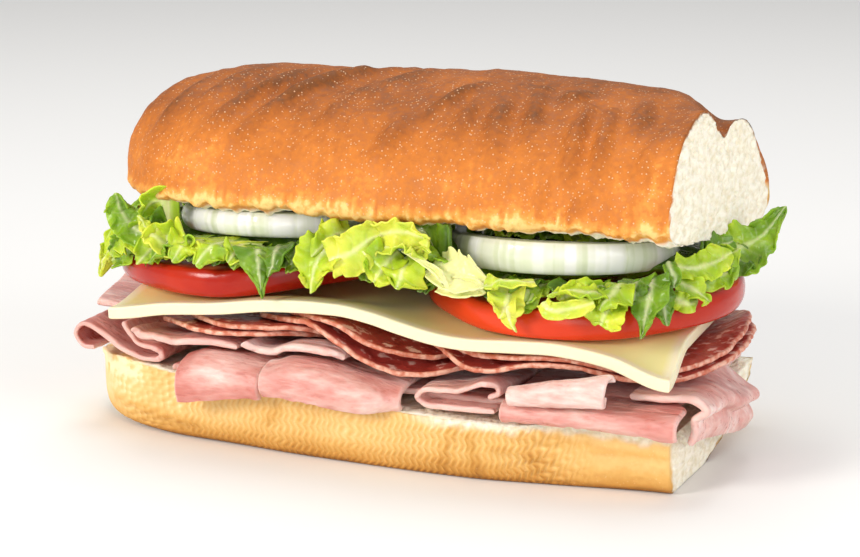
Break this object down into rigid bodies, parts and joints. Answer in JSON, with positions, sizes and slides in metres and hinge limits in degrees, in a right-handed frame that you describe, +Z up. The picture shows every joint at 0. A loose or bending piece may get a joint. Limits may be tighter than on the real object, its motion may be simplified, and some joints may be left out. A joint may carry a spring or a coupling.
{
  "type": "submarine sandwich",
  "caption": "Half of a long bread roll, cut straight at one end and rounded at the other, filled with ham, salami, cheese, tomato, lettuce and onion rings.",
  "frame": {"origin": "middle of the outline seen from above, at the level of the flat base", "axes": "+X along the roll towards the end that was cut straight, +Y away from the fuller front side, +Z up"},
  "size_m": [0.1698, 0.09, 0.0858],
  "materials": {
    "bun_top": "baked crust, brown orange and slightly satin, with white crumb at the cut",
    "bun_bottom": "pale golden crust with cream crumb at the cut",
    "cheese": "smooth pale yellow, slightly waxy",
    "tomato": "glossy red skin and wet orange red flesh",
    "onion": "wet, translucent white with pale green stripes",
    "lettuce": "moist ruffled leaf, bright yellow green to dark green",
    "ham": "moist pale pink slices with lighter cut edges",
    "salami": "dark red, marbled with pale fat, with glistening brown pink edges"
  },
  "bodies": {
    "root": {"bun_bottom": "bun_bottom", "bun_top": "bun_top", "cheese": "cheese", "tomato_left": "tomato", "tomato_right": "tomato", "onion_left": "onion", "onion_right": "onion", "lettuce": "lettuce", "ham_1": "ham", "ham_2": "ham", "ham_3": "ham", "ham_4": "ham", "ham_5": "ham", "ham_6": "ham", "ham_7": "ham", "ham_8": "ham", "ham_9": "ham", "ham_10": "ham", "ham_11": "ham", "salami_1": "salami", "salami_2": "salami", "salami_3": "salami", "salami_4": "salami", "salami_5": "salami", "salami_6": "salami"}
  },
  "joints": []
}
